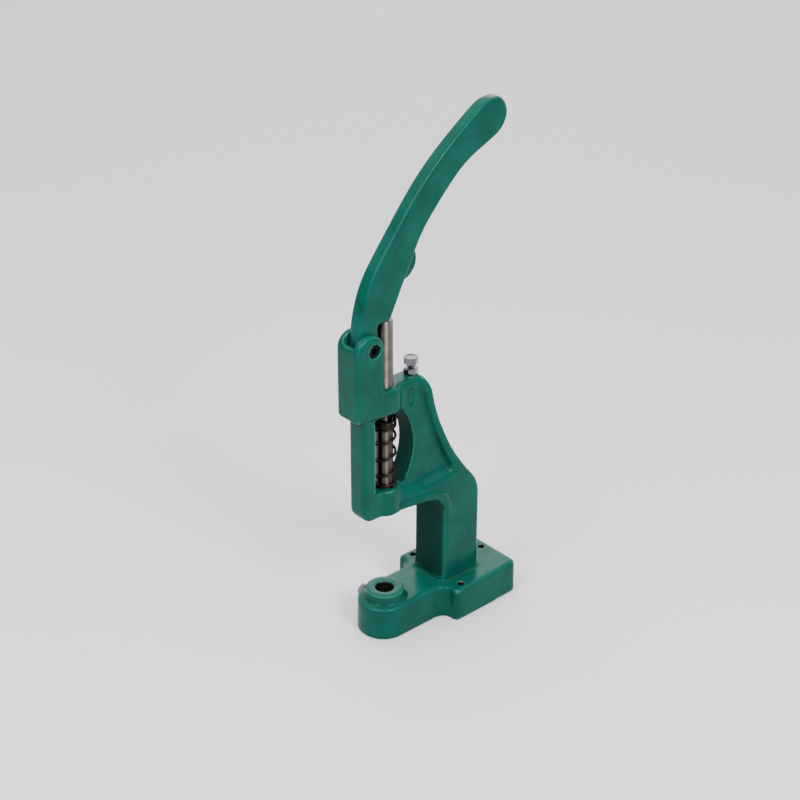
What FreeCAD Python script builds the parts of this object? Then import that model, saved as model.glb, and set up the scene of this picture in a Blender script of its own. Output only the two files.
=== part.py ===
# Hand lever eyelet press: one cast frame, a curved lever, a spring-returned ram and its hardware.
# Frame: origin on the ram axis at the table, +Z up, the nose and anvil point to -Y, the column is at +Y.
import FreeCAD
import Part
import Sketcher
import math
import os
from FreeCAD import Vector

doc = FreeCAD.newDocument("eyelet_press")
sizes = doc.addObject("Spreadsheet::Sheet", "Sizes")

# Driving dimensions in millimetres and degrees, grouped by the piece that carries them
drivingSizes = [
    ("base_height", 29.0),
    ("plate_half_width", 37.0),
    ("plate_rear_half_width", 35.4),
    ("plate_draft", 0.8),
    ("plate_front", 46.0),
    ("plate_rear", 116.4),
    ("plate_corner_share", 0.29),
    ("plate_rear_corner", 6.0),
    ("nose_half_width", 21.5),
    ("nose_reach", 22.5),
    ("nose_flat", 0.6),
    ("nose_root_share", 0.58),
    ("base_top_edge", 2.4),
    ("bench_hole_radius", 2.75),
    ("bench_hole_side", 28.8),
    ("bench_hole_front", 57.4),
    ("bench_hole_rear", 108.0),
    ("anvil_radius", 16.0),
    ("anvil_stand", 8.3),
    ("anvil_edge", 1.2),
    ("die_socket_radius", 7.5),
    ("die_socket_depth", 25.0),
    ("die_socket_chamfer", 0.8),
    ("column_half_width", 18.0),
    ("column_front", 46.5),
    ("column_rear", 88.0),
    ("column_sink", 3.0),
    ("column_edge", 4.0),
    ("arm_underside", 111.0),
    ("shoulder_drop", 13.0),
    ("arm_front", 9.0),
    ("arm_front_half_width", 12.0),
    ("arm_full_width_at", 40.0),
    ("arm_band", 16.0),
    ("arch_radius", 14.0),
    ("frame_crown", 23.0),
    ("spine_top_front", 28.0),
    ("spine_top_rear", 31.5),
    ("spine_top_half_width", 11.0),
    ("spine_crown_half_width", 15.5),
    ("spine_crown_drop", 16.0),
    ("web_half_width", 9.5),
    ("web_edge", 3.5),
    ("wall_front", -28.5),
    ("wall_thickness", 10.5),
    ("wall_foot_radius", 9.0),
    ("lower_boss_length", 23.0),
    ("window_headroom", 3.0),
    ("window_rear", 22.5),
    ("window_rear_end", 11.0),
    ("window_corner", 4.0),
    ("lower_boss_radius", 12.8),
    ("lower_boss_edge", 1.6),
    ("head_half_width", 13.0),
    ("head_front", -37.0),
    ("head_rear", 8.0),
    ("head_front_step", 4.5),
    ("head_rear_step", 0.5),
    ("head_edge", 3.2),
    ("ear_rear", -9.7),
    ("ear_rise", 13.0),
    ("ear_corner", 13.0),
    ("ear_lip_rise", 4.5),
    ("slot_half_width", 6.6),
    ("slot_front", -31.6),
    ("slot_drop", 13.5),
    ("pivot_forward", -19.8),
    ("pivot_rise", 39.0),
    ("pivot_radius", 3.0),
    ("pivot_head_radius", 5.0),
    ("pivot_head_height", 3.2),
    ("pivot_head_sunk", 1.2),
    ("pivot_socket_radius", 2.9),
    ("pivot_socket_depth", 3.0),
    ("pivot_chamfer", 0.7),
    ("counterbore_clearance", 0.5),
    ("lever_half_width", 6.25),
    ("lever_reach", 138.3),
    ("lever_rise", 168.0),
    ("lever_edge", 2.0),
    ("hub_radius", 9.0),
    ("heel_round", 1.5),
    ("heel_root", 3.0),
    ("lug_half_width", 3.0),
    ("ram_radius", 7.0),
    ("ram_stand", 16.3),
    ("heel_gap", 0.3),
    ("ram_chamfer", 1.0),
    ("ram_thread_radius", 4.0),
    ("ram_thread_depth", 22.0),
    ("cross_pin_radius", 2.5),
    ("cross_pin_bore", 1.5),
    ("cross_pin_half_length", 12.0),
    ("pin_rise", 63.0),
    ("cross_pin_slit", 0.8),
    ("washer_radius", 10.0),
    ("washer_thickness", 1.5),
    ("wire_radius", 0.95),
    ("coil_radius", 8.85),
    ("stop_bolt_place", 27.4),
    ("stop_thread_radius", 3.0),
    ("stop_reach", 18.0),
    ("stop_hole_depth", 30.0),
    ("stop_head_standoff", 8.5),
    ("stop_head_height", 5.7),
    ("small_hex_across", 10.0),
    ("lock_nut_height", 5.2),
    ("clamp_screw_height", 20.5),
    ("clamp_screw_radius", 3.0),
    ("clamp_head_height", 4.0),
    ("clamp_head_standoff", 2.4),
    ("running_clearance", 0.05),
    ("thread_clearance", 0.05),
    ("loose_clearance", 0.2),
    ("seat_gap", 0.1),
    ("cut_overrun", 5.0),
]
for row, (alias, value) in enumerate(drivingSizes, 1):
    sizes.set("A%d" % row, alias)
    sizes.set("B%d" % row, str(value))
    sizes.setAlias("B%d" % row, alias)

# Heights above the bench, each built up from the ones below it
heightFormulas = [
    ("anvil_height", "base_height + anvil_stand"),
    ("shoulder_height", "arm_underside - shoulder_drop"),
    ("window_floor", "arm_underside + lower_boss_length"),
    ("cross_pin_height", "window_floor + pin_rise"),
    ("window_top", "cross_pin_height + window_headroom"),
    ("head_front_bottom", "window_top + head_front_step"),
    ("head_rear_bottom", "window_top + head_rear_step"),
    ("frame_top", "window_top + frame_crown"),
    ("stop_tip_height", "frame_top - stop_reach"),
    ("stop_head_underside", "frame_top + stop_head_standoff"),
    ("pivot_height", "frame_top + pivot_rise"),
    ("slot_floor", "pivot_height - slot_drop"),
    ("ear_lip", "pivot_height + ear_lip_rise"),
    ("ear_top", "pivot_height + ear_rise"),
    ("ram_top", "pivot_height + ram_stand"),
]
owners = {alias: "Sizes." for alias, value in drivingSizes}
owners.update({name: "Heights." for name, formula in heightFormulas})


def cell(text):
    # puts its owner before each named size of a formula
    words = []
    word = ""
    for letter in text + " ":
        if letter.isalpha() or letter == "_":
            word += letter
            continue
        words.append(owners.get(word, "") + word)
        words.append(letter)
        word = ""
    return "".join(words).strip()


heights = doc.addObject("App::VarSet", "Heights")
for name, formula in heightFormulas:
    heights.addProperty("App::PropertyFloat", name, "Heights")
    heights.setExpression(name, cell(formula))
doc.recompute()


def size(name):
    return float(getattr(heights if owners[name] == "Heights." else sizes, name))



def number(owner, text):
    found = owner.evalExpression(cell(text))
    return float(getattr(found, "Value", found))


def newBody(name):
    body = doc.addObject("PartDesign::Body", name)
    body.Label = name
    return body


def newSketch(body, name, role):
    sketch = body.newObject("Sketcher::SketchObject", name)
    plane = [item for item in body.Origin.OriginFeatures if item.Role == role][0]
    sketch.AttachmentSupport = [(plane, "")]
    sketch.MapMode = "FlatFace"
    return sketch


def fix(sketch, kind, places, text):
    # one constraint driven by a formula
    index = sketch.addConstraint(Sketcher.Constraint(kind, *places, number(sketch, text)))
    sketch.setExpression("Constraints[%d]" % index, cell(text))


def pin(sketch, geometry, spot, across, up):
    # fixes one point of a sketch at two formulas
    fix(sketch, "DistanceX", (-1, 1, geometry, spot), across)
    fix(sketch, "DistanceY", (-1, 1, geometry, spot), up)


def outline(body, name, role, corners):
    # Closed outline. A corner is (across, up), or (across, up, viaAcross, viaUp)
    # where the edge to the next corner is an arc through the via point.
    sketch = newSketch(body, name, role)
    count = len(corners)
    points = [Vector(number(sketch, item[0]), number(sketch, item[1]), 0) for item in corners]
    starts = []
    ends = []
    for index, corner in enumerate(corners):
        first = points[index]
        last = points[(index + 1) % count]
        if len(corner) == 2:
            edge = sketch.addGeometry(Part.LineSegment(first, last), False)
            turned = False
        else:
            via = Vector(number(sketch, corner[2]), number(sketch, corner[3]), 0)
            turned = (via - first).cross(last - first).z < 0
            low, high = (last, first) if turned else (first, last)
            edge = sketch.addGeometry(Part.Arc(low, via, high), False)
        starts.append((edge, 2 if turned else 1))
        ends.append((edge, 1 if turned else 2))
    for index in range(count):
        follower = starts[(index + 1) % count]
        sketch.addConstraint(Sketcher.Constraint("Coincident", *ends[index], *follower))
    for index, corner in enumerate(corners):
        pin(sketch, *starts[index], corner[0], corner[1])
    for index, corner in enumerate(corners):
        if len(corner) == 4:
            last = corners[(index + 1) % count]
            centre = centreThrough(corner[:2], corner[2:], last[:2])
            chord = points[(index + 1) % count] - points[index]
            kind, text = ("DistanceX", centre[0]) if abs(chord.y) > abs(chord.x) else ("DistanceY", centre[1])
            fix(sketch, kind, (-1, 1, starts[index][0], 3), text)
    return sketch


def centreThrough(first, via, last):
    # formulas for the centre of the circle through three spots
    across = "(%s - (%s))" % (via[0], first[0])
    up = "(%s - (%s))" % (via[1], first[1])
    farAcross = "(%s - (%s))" % (last[0], first[0])
    farUp = "(%s - (%s))" % (last[1], first[1])
    near = "(%s^2 + %s^2)" % (across, up)
    far = "(%s^2 + %s^2)" % (farAcross, farUp)
    turn = "(2 * (%s * %s - %s * %s))" % (across, farUp, farAcross, up)
    return ("%s + (%s * %s - %s * %s) / %s" % (first[0], farUp, near, up, far, turn),
            "%s + (%s * %s - %s * %s) / %s" % (first[1], across, far, farAcross, near, turn))


def circles(body, name, role, rounds):
    # each round is (across, up, radius)
    sketch = newSketch(body, name, role)
    for across, up, radius in rounds:
        centre = Vector(number(sketch, across), number(sketch, up), 0)
        circle = Part.Circle(centre, Vector(0, 0, 1), number(sketch, radius))
        edge = sketch.addGeometry(circle, False)
        pin(sketch, edge, 3, across, up)
        fix(sketch, "Radius", (edge,), radius)
    return sketch


def padOf(body, name, sketch, length, side="Symmetric"):
    pad = body.newObject("PartDesign::Pad", name)
    pad.Profile = sketch
    pad.SideType = side
    pad.setExpression("Length", cell(length))
    doc.recompute()
    return pad


def pocketOf(body, name, sketch, length=None, side="Symmetric", reverse=False):
    before = body.Shape.Volume
    pocket = body.newObject("PartDesign::Pocket", name)
    pocket.Profile = sketch
    pocket.SideType = side
    pocket.Reversed = reverse
    if length:
        pocket.setExpression("Length", cell(length))
    else:
        pocket.Type = "ThroughAll"
    doc.recompute()
    if not pocket.Shape.Volume < before:
        raise RuntimeError("%s cuts nothing" % name)
    return pocket


def turnOf(body, name, corners):
    # turns an outline of (radius, height) corners about the body's own Z axis
    sketch = outline(body, name + "_half", "XZ_Plane", corners)
    turn = body.newObject("PartDesign::Revolution", name)
    turn.Profile = sketch
    turn.ReferenceAxis = (sketch, ["V_Axis"])
    doc.recompute()
    return turn


def roundOff(body, name, radius, chosen):
    # rounds the edges of the body's last feature that the test picks
    base = body.Tip
    names = []
    for index, edge in enumerate(base.Shape.Edges, 1):
        if chosen(edge):
            names.append("Edge%d" % index)
    if not names:
        raise RuntimeError("%s finds no edge" % name)
    fillet = body.newObject("PartDesign::Fillet", name)
    fillet.Base = (base, names)
    fillet.Refine = False
    fillet.setExpression("Radius", cell(radius))
    doc.recompute()
    return fillet


def draftOf(body, name, angle, role, chosen):
    # leans the faces that the test picks about one of the body's own planes
    base = body.Tip
    names = ["Face%d" % index for index, face in enumerate(base.Shape.Faces, 1) if chosen(face)]
    draft = body.newObject("PartDesign::Draft", name)
    draft.Base = (base, names)
    plane = [item for item in body.Origin.OriginFeatures if item.Role == role][0]
    draft.NeutralPlane = (plane, [""])
    draft.setExpression("Angle", cell(angle))
    doc.recompute()
    return draft


def runsAlong(edge, axis):
    if len(edge.Vertexes) < 2:
        return False
    across = edge.Vertexes[1].Point - edge.Vertexes[0].Point
    return abs(across[axis]) > straightShare * edge.Length


def stands(face):
    # true for an upright face
    first, last, low, high = face.ParameterRange
    return abs(face.normalAt((first + last) / 2, (low + high) / 2).z) < 1 - straightShare


straightShare = 0.97
nearShare = 0.001


def passes(edge, places, first, second):
    # true where an end of the edge stands at one of the given places
    reach = nearShare * size("frame_top")
    for vertex in edge.Vertexes:
        for across, up in places:
            if abs(vertex.Point[first] - across) < reach and abs(vertex.Point[second] - up) < reach:
                return True
    return False


def liesOn(edge, axis, value):
    reach = nearShare * size("frame_top")
    return all(abs(vertex.Point[axis] - value) < reach for vertex in edge.Vertexes)


def cylinder(name, radius, length, across, along, up, turned=None):
    solid = doc.addObject("Part::Cylinder", name)
    solid.setExpression("Radius", cell(radius))
    solid.setExpression("Height", cell(length))
    if turned:
        solid.Placement.Rotation = turned
    solid.setExpression("Placement.Base.x", cell(across))
    solid.setExpression("Placement.Base.y", cell(along))
    solid.setExpression("Placement.Base.z", cell(up))
    return solid


def box(name, low, high):
    solid = doc.addObject("Part::Box", name)
    for side, first, last in zip(("Length", "Width", "Height"), low, high):
        solid.setExpression(side, cell("(%s) - (%s)" % (last, first)))
    for side, first in zip("xyz", low):
        solid.setExpression("Placement.Base." + side, cell(first))
    return solid


def place(solid, across, along, up, rotation=None):
    if rotation:
        solid.Placement.Rotation = rotation
    solid.setExpression("Placement.Base.x", cell(across))
    solid.setExpression("Placement.Base.y", cell(along))
    solid.setExpression("Placement.Base.z", cell(up))


alongX = FreeCAD.Rotation(Vector(0, 1, 0), 90)
againstX = FreeCAD.Rotation(Vector(0, 1, 0), -90)


def makeBase():
    # nose and bench plate
    body = newBody("frame_base")
    plan = outline(body, "base_plan", "XY_Plane", [
        ("-nose_half_width", "-nose_reach"),
        ("nose_half_width", "-nose_reach"),
        ("nose_half_width", "plate_front"),
        ("plate_half_width", "plate_front"),
        ("plate_rear_half_width", "plate_rear"),
        ("-plate_rear_half_width", "plate_rear"),
        ("-plate_half_width", "plate_front"),
        ("-nose_half_width", "plate_front"),
    ])
    padOf(body, "base_block", plan, "base_height", side="One side")
    nose = size("nose_half_width")
    wing = size("plate_half_width")
    tail = size("plate_rear_half_width")
    front = size("plate_front")
    rear = size("plate_rear")
    tip = -size("nose_reach")
    step = " * (plate_half_width - nose_half_width)"
    rounds = [
        ("nose_front", "nose_half_width - nose_flat", [(nose, tip), (-nose, tip)]),
        ("nose_root", "nose_root_share" + step, [(nose, front), (-nose, front)]),
        ("wing_front", "plate_corner_share" + step, [(wing, front), (-wing, front)]),
        ("wing_rear", "plate_rear_corner", [(tail, rear), (-tail, rear)]),
    ]
    for name, radius, places in rounds:
        roundOff(body, name, radius, lambda edge: runsAlong(edge, 2) and passes(edge, places, 0, 1))
    draftOf(body, "base_draft", "plate_draft", "XY_Plane", stands)
    roundOff(body, "base_rim", "base_top_edge", lambda edge: liesOn(edge, 2, size("base_height")))
    return body


def makePost(name, radius, low, high, edge):
    # upright round boss with a rounded top edge
    body = newBody(name)
    turnOf(body, name + "_turn", [
        ("0", low),
        (radius, low),
        (radius, high),
        ("0", high),
    ])
    top = number(body, high)
    wide = number(body, radius)
    rim = [(wide, 0)]
    roundOff(body, name + "_rim", edge, lambda found: liesOn(found, 2, top) and passes(found, rim, 0, 1))
    return body


benchHoles = [
    ("near", "bench_hole_side", "bench_hole_front"),
    ("far", "-bench_hole_side", "bench_hole_front"),
    ("rear", "0", "bench_hole_rear"),
]


# Points of the spine's back and front lines, as shares of the reach from the top's rear corner to the
# column's back, and of the rise from the arm's underside to the frame's top
spineShares = {
    "shoulder_end": (0.761, 0.134),
    "shoulder_via": (0.933, 0.004),
    "back_end": (0.12, 0.84),
    "back_via": (0.425, 0.407),
    "crown_via": (0.075, 0.93),
    "valley_foot": (0.504, 0.179),
    "valley_via": (0.165, 0.571),
    "web_foot": (0.62, 0.156),
    "web_waist": (0.25, 0.509),
}


def spineSpot(name):
    reachShare, riseShare = spineShares[name]
    across = "spine_top_rear + %s * (column_rear - spine_top_rear)" % reachShare
    up = "arm_underside + %s * (frame_top - arm_underside)" % riseShare
    return across, up


flankShares = {"middle": (0.4, 0.42), "start": 0.06, "crown": (0.78, 0.478)}


def makeSpine():
    # column, arm band and the flange that rises from them to the top of the frame
    body = newBody("frame_spine")
    side = outline(body, "spine_side", "YZ_Plane", [
        ("column_front", "base_height - column_sink"),
        ("column_rear", "base_height - column_sink"),
        ("column_rear", "shoulder_height") + spineSpot("shoulder_via"),
        spineSpot("shoulder_end") + spineSpot("back_via"),
        spineSpot("back_end") + spineSpot("crown_via"),
        ("spine_top_rear", "frame_top"),
        ("spine_top_front", "frame_top") + spineSpot("valley_via"),
        spineSpot("valley_foot"),
        ("arm_front", "arm_underside + arm_band"),
        ("arm_front", "arm_underside"),
        ("column_front", "arm_underside"),
    ])
    padOf(body, "spine_block", side, "2 * column_half_width")
    arch = [(size("column_front"), size("arm_underside"))]
    roundOff(body, "throat_arch", "arch_radius", lambda edge: runsAlong(edge, 0) and passes(edge, arch, 1, 2))
    half = size("column_half_width")
    roundOff(body, "column_rims", "column_edge", lambda edge: runsAlong(edge, 2)
             and (liesOn(edge, 0, half) or liesOn(edge, 0, -half)))
    # the flange narrows a little as it rises and is rounded at its top
    start = "arm_underside + %s * (frame_top - arm_underside)" % flankShares["start"]
    middle = "arm_underside + %s * (frame_top - arm_underside)" % flankShares["middle"][1]
    narrow = "spine_crown_half_width + %s * (column_half_width - spine_crown_half_width)"
    narrow = narrow % flankShares["middle"][0]
    crownSide = "spine_top_half_width + %s * (spine_crown_half_width - spine_top_half_width)"
    crownSide = crownSide % flankShares["crown"][0]
    crownUp = "frame_top - %s * spine_crown_drop" % flankShares["crown"][1]
    for sign, name in (("", "near"), ("-", "far")):
        flank = outline(body, name + "_flank", "XZ_Plane", [
            (sign + "column_half_width", start, sign + "(" + narrow + ")", middle),
            (sign + "spine_crown_half_width", "frame_top - spine_crown_drop",
             sign + "(" + crownSide + ")", crownUp),
            (sign + "spine_top_half_width", "frame_top"),
            (sign + "spine_top_half_width", "frame_top + cut_overrun"),
            (sign + "(column_half_width + cut_overrun)", "frame_top + cut_overrun"),
            (sign + "(column_half_width + cut_overrun)", start),
        ])
        pocketOf(body, name + "_taper", flank)
        plan = outline(body, name + "_arm_plan", "XY_Plane", [
            (sign + "arm_front_half_width", "arm_front - cut_overrun"),
            (sign + "arm_front_half_width", "arm_front"),
            (sign + "column_half_width", "arm_full_width_at"),
            (sign + "(column_half_width + cut_overrun)", "arm_full_width_at"),
            (sign + "(column_half_width + cut_overrun)", "arm_front - cut_overrun"),
        ])
        pocketOf(body, name + "_arm_taper", plan)
    return body


def makeWeb():
    # the plate that closes the arm and carries the window, with the front wall
    body = newBody("frame_web")
    bend = " + %s * wall_foot_radius" % (1 - math.sqrt(1 / 2))
    side = outline(body, "web_side", "YZ_Plane", [
        ("wall_front", "arm_underside + wall_foot_radius", "wall_front" + bend, "arm_underside" + bend),
        ("wall_front + wall_foot_radius", "arm_underside"),
        ("column_front", "arm_underside"),
        spineSpot("web_foot"),
        spineSpot("web_waist"),
        ("spine_top_front", "frame_top"),
        ("wall_front", "frame_top"),
    ])
    padOf(body, "web_block", side, "2 * web_half_width")
    window = outline(body, "window_side", "YZ_Plane", [
        ("wall_front + wall_thickness", "window_floor"),
        ("window_rear_end", "window_floor", "window_rear", "(window_floor + window_top) / 2"),
        ("window_rear_end", "window_top"),
        ("wall_front + wall_thickness", "window_top"),
    ])
    pocketOf(body, "window", window)
    inner = size("wall_front") + size("wall_thickness")
    corners = [(inner, size("window_floor")), (inner, size("window_top"))]
    roundOff(body, "window_corners", "window_corner",
             lambda edge: runsAlong(edge, 0) and passes(edge, corners, 1, 2))
    # outer rims of the plate
    half = size("web_half_width")
    radius = size("web_edge")
    reach = nearShare * size("frame_top")
    rims = []
    for edge in body.Shape.Edges:
        outside = any(vertex.Y < inner - reach or vertex.Y > size("window_rear")
                      or vertex.Z < size("window_floor") - reach or vertex.Z > size("window_top") + reach
                      for vertex in edge.Vertexes)
        if outside and (liesOn(edge, 0, half) or liesOn(edge, 0, -half)):
            rims.append(edge)
    soft = doc.addObject("Part::Feature", "frame_web_soft")
    soft.Shape = body.Shape.makeFillet(radius, rims)
    return soft


def makeHead():
    # block on top of the front wall: ram boss behind, two ears for the lever in front
    body = newBody("frame_head")
    side = outline(body, "head_side", "YZ_Plane", [
        ("head_front", "head_front_bottom"),
        ("head_rear", "head_rear_bottom"),
        ("head_rear", "frame_top"),
        ("ear_rear", "frame_top"),
        ("ear_rear", "ear_top"),
        ("head_front", "ear_top"),
    ])
    padOf(body, "head_block", side, "2 * head_half_width")
    tops = [(size("ear_rear"), size("ear_top")), (size("head_front"), size("ear_top"))]
    roundOff(body, "ear_round", "ear_corner", lambda edge: runsAlong(edge, 0) and passes(edge, tops, 1, 2))
    half = size("head_half_width")
    roundOff(body, "head_rims", "head_edge", lambda edge: liesOn(edge, 0, half) or liesOn(edge, 0, -half))
    return body


def makeSocketChamfer():
    # flared mouth of the die socket
    cone = doc.addObject("Part::Cone", "socket_mouth")
    cone.setExpression("Radius1", cell("die_socket_radius"))
    cone.setExpression("Radius2", cell("die_socket_radius + 2 * die_socket_chamfer"))
    cone.setExpression("Height", cell("2 * die_socket_chamfer"))
    cone.setExpression("Placement.Base.z", cell("anvil_height - die_socket_chamfer"))
    return cone


def makeFrame():
    base = makeBase()
    spine = makeSpine()
    web = makeWeb()
    head = makeHead()
    bosses = [
        makePost("anvil_boss", "anvil_radius", "0", "anvil_height", "anvil_edge"),
        makePost("lower_boss", "lower_boss_radius", "arm_underside", "window_floor", "lower_boss_edge"),
    ]
    whole = doc.addObject("Part::MultiFuse", "frame_cast")
    whole.Shapes = [base, spine, web, head] + bosses
    cuts = [
        cylinder("upper_ram_bore", "ram_radius + running_clearance",
                 "frame_top - window_top + 2 * cut_overrun", "0", "0", "window_top - cut_overrun"),
        cylinder("lower_ram_bore", "ram_radius + running_clearance",
                 "window_floor - arm_underside + 2 * cut_overrun", "0", "0", "arm_underside - cut_overrun"),
        cylinder("die_socket", "die_socket_radius", "die_socket_depth + cut_overrun",
                 "0", "0", "anvil_height - die_socket_depth"),
        makeSocketChamfer(),
        cylinder("clamp_hole", "clamp_screw_radius + thread_clearance", "nose_half_width + cut_overrun",
                 "0", "0", "clamp_screw_height", againstX),
        cylinder("stop_hole", "stop_thread_radius + thread_clearance", "stop_hole_depth + cut_overrun",
                 "0", "stop_bolt_place", "frame_top - stop_hole_depth"),
        cylinder("pivot_hole", "pivot_radius + thread_clearance", "2 * (head_half_width + cut_overrun)",
                 "-(head_half_width + cut_overrun)", "pivot_forward", "pivot_height", alongX),
        cylinder("pivot_counterbore", "pivot_head_radius + counterbore_clearance", "head_half_width",
                 "head_half_width - pivot_head_sunk - pivot_head_height",
                 "pivot_forward", "pivot_height", alongX),
        box("lever_slot", ("-slot_half_width", "slot_front", "slot_floor"),
            ("slot_half_width", "ear_rear + cut_overrun", "ear_top + cut_overrun")),
        box("lever_mouth", ("-slot_half_width", "head_front - cut_overrun", "ear_lip"),
            ("slot_half_width", "ear_rear + cut_overrun", "ear_top + cut_overrun")),
    ]
    for name, across, along in benchHoles:
        cuts.append(cylinder(name + "_bench_hole", "bench_hole_radius", "base_height + 2 * cut_overrun",
                             across, along, "-cut_overrun"))
    tools = doc.addObject("Part::MultiFuse", "frame_cuts")
    tools.Shapes = cuts
    frame = doc.addObject("Part::Cut", "frame_casting")
    frame.Base = whole
    frame.Tool = tools
    return frame


# Lever outline: up the front, over the tip, down the underside to the heel that presses the ram, then round
# the hub. Corners of the bar are shares of the reach behind the pivot and of the rise above it, those of the
# hub are hub radii from the pivot, and those of the heel are ram radii from the ram's axis, on the ram's top.
# A second spot is one that the edge to the next corner passes through.
leverCorners = [
    ("hub_front", "hub", (-1.1889, 0.1889), (-1.1534, 1.1444)),
    ("front_foot", "bar", (-0.06813, 0.11221), (-0.01991, 0.25289)),
    ("front_lower", "bar", (0.06948, 0.37918), (0.18383, 0.49970)),
    ("front_middle", "bar", (0.30083, 0.61848), (0.42717, 0.73059)),
    ("front_upper", "bar", (0.56830, 0.83003), (0.68092, 0.89771)),
    ("front_grip", "bar", (0.79674, 0.96163), (0.85496, 0.98328)),
    ("crown", "bar", (0.91830, 0.99019), (0.98385, 0.96595)),
    ("nose", "bar", (1.00739, 0.91005), (0.98198, 0.85096)),
    ("grip_end", "bar", (0.92363, 0.81066), (0.85981, 0.78714)),
    ("grip_root", "bar", (0.79537, 0.76479), (0.70438, 0.72613)),
    ("belly_upper", "bar", (0.62306, 0.67489), (0.53188, 0.60241)),
    ("belly", "bar", (0.44541, 0.52611), (0.38686, 0.46409)),
    ("belly_bend", "bar", (0.33839, 0.39643), None),
    ("heel_end", "heel", (0.239, 0.0), None),
    ("heel_corner", "heel", (-1.514, 0.0), None),
    ("hub_rear", "hub", (1.0, 0.0), (0.7071, -0.7071)),
    ("hub_foot", "hub", (0.0, -1.0), (-0.8407, -0.6518)),
]
leverRounds = [
    ("lever_heel_round", "heel_round", ("heel_end",)),
    ("lever_heel_root", "heel_root", ("heel_corner",)),
]
lugShares = {
    "top": (0.3413, 0.4006),
    "belly": (0.3601, 0.3369),
    "foot": (0.2531, 0.2583),
    "foot_root": (0.1938, 0.3185),
    "top_root": (0.2805, 0.4607),
}


def leverSpot(part, spot):
    across, up = spot
    if part == "hub":
        return "pivot_forward + %s * hub_radius" % across, "pivot_height + %s * hub_radius" % up
    if part == "heel":
        return "%s * ram_radius" % across, "ram_top + heel_gap"
    return "pivot_forward + %s * lever_reach" % across, "pivot_height + %s * lever_rise" % up


def makeLever():
    body = newBody("lever")
    corners = {}
    for name, part, spot, via in leverCorners:
        corners[name] = leverSpot(part, spot) + (leverSpot(part, via) if via else ())
    side = outline(body, "lever_side", "YZ_Plane", list(corners.values()))
    padOf(body, "lever_bar", side, "2 * lever_half_width")
    for name, radius, chosen in leverRounds:
        places = [(number(side, corners[corner][0]), number(side, corners[corner][1])) for corner in chosen]
        roundOff(body, name, radius, lambda edge: runsAlong(edge, 0) and passes(edge, places, 1, 2))
    roundOff(body, "lever_rims", "lever_edge", lambda edge: not runsAlong(edge, 0))
    lug = outline(body, "lug_side", "YZ_Plane", [
        leverSpot("bar", lugShares["top"]) + leverSpot("bar", lugShares["belly"]),
        leverSpot("bar", lugShares["foot"]),
        leverSpot("bar", lugShares["foot_root"]),
        leverSpot("bar", lugShares["top_root"]),
    ])
    padOf(body, "lever_lug", lug, "2 * lug_half_width")
    bore = circles(body, "pivot_bore_side", "YZ_Plane", [
        ("pivot_forward", "pivot_height", "pivot_radius + running_clearance"),
    ])
    pocketOf(body, "pivot_bore", bore)
    return body


def makeRam():
    body = newBody("ram")
    turnOf(body, "ram_rod", [
        ("0", "arm_underside + ram_thread_depth"),
        ("ram_thread_radius", "arm_underside + ram_thread_depth"),
        ("ram_thread_radius", "arm_underside"),
        ("ram_radius - ram_chamfer", "arm_underside"),
        ("ram_radius", "arm_underside + ram_chamfer"),
        ("ram_radius", "ram_top - ram_chamfer"),
        ("ram_radius - ram_chamfer", "ram_top"),
        ("0", "ram_top"),
    ])
    hole = circles(body, "cross_hole_side", "YZ_Plane", [("0", "cross_pin_height", "cross_pin_radius")])
    pocketOf(body, "cross_hole", hole)
    return body


def makeCrossPin():
    # slit spring pin pressed through the ram
    outer = cylinder("cross_pin_outer", "cross_pin_radius", "2 * cross_pin_half_length",
                     "-cross_pin_half_length", "0", "cross_pin_height", alongX)
    inner = cylinder("cross_pin_inner", "cross_pin_bore", "2 * (cross_pin_half_length + cut_overrun)",
                     "-(cross_pin_half_length + cut_overrun)", "0", "cross_pin_height", alongX)
    beyond = "cross_pin_half_length + cut_overrun"
    slit = box("cross_pin_gap", ("-(" + beyond + ")", "-cross_pin_slit / 2", "cross_pin_height"),
               (beyond, "cross_pin_slit / 2", "cross_pin_height + cut_overrun"))
    inside = doc.addObject("Part::Fuse", "cross_pin_inside")
    inside.Base = inner
    inside.Tool = slit
    crossPin = doc.addObject("Part::Cut", "ram_cross_pin")
    crossPin.Base = outer
    crossPin.Tool = inside
    return crossPin


def makeWasher():
    body = newBody("spring_washer")
    turnOf(body, "washer_ring", [
        ("ram_radius + loose_clearance", "-washer_thickness"),
        ("washer_radius", "-washer_thickness"),
        ("washer_radius", "0"),
        ("ram_radius + loose_clearance", "0"),
    ])
    place(body, "0", "0", "cross_pin_height - cross_pin_radius")
    return body


def hexBlock(name, acrossFlats, height):
    # hexagonal prism on its own Z axis, with the corners of its upper end turned off by a cone
    prism = doc.addObject("Part::Prism", name + "_prism")
    prism.Polygon = 6
    prism.setExpression("Circumradius", cell("%s / %s" % (acrossFlats, math.sqrt(3))))
    prism.setExpression("Height", cell(height))
    cone = doc.addObject("Part::Cone", name + "_cone")
    cone.setExpression("Radius1", cell("%s / 2 * %s + (%s) * 2" % (acrossFlats, hexCornerShare, height)))
    cone.setExpression("Radius2", cell("%s / 2 * %s" % (acrossFlats, hexCornerShare)))
    cone.setExpression("Height", cell(height))
    block = doc.addObject("Part::Common", name + "_hex")
    block.Base = prism
    block.Tool = cone
    return block


hexCornerShare = 0.97


def makeHexBolt(name, shankRadius, shankLength, headHeight):
    # bolt on its own Z axis: the head's underside at zero, the head above, the shank below
    head = hexBlock(name, "small_hex_across", headHeight)
    shank = cylinder(name + "_shank", shankRadius, "%s + seat_gap" % shankLength,
                     "0", "0", "-(%s)" % shankLength)
    bolt = doc.addObject("Part::Fuse", name)
    bolt.Base = head
    bolt.Tool = shank
    return bolt


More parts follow.
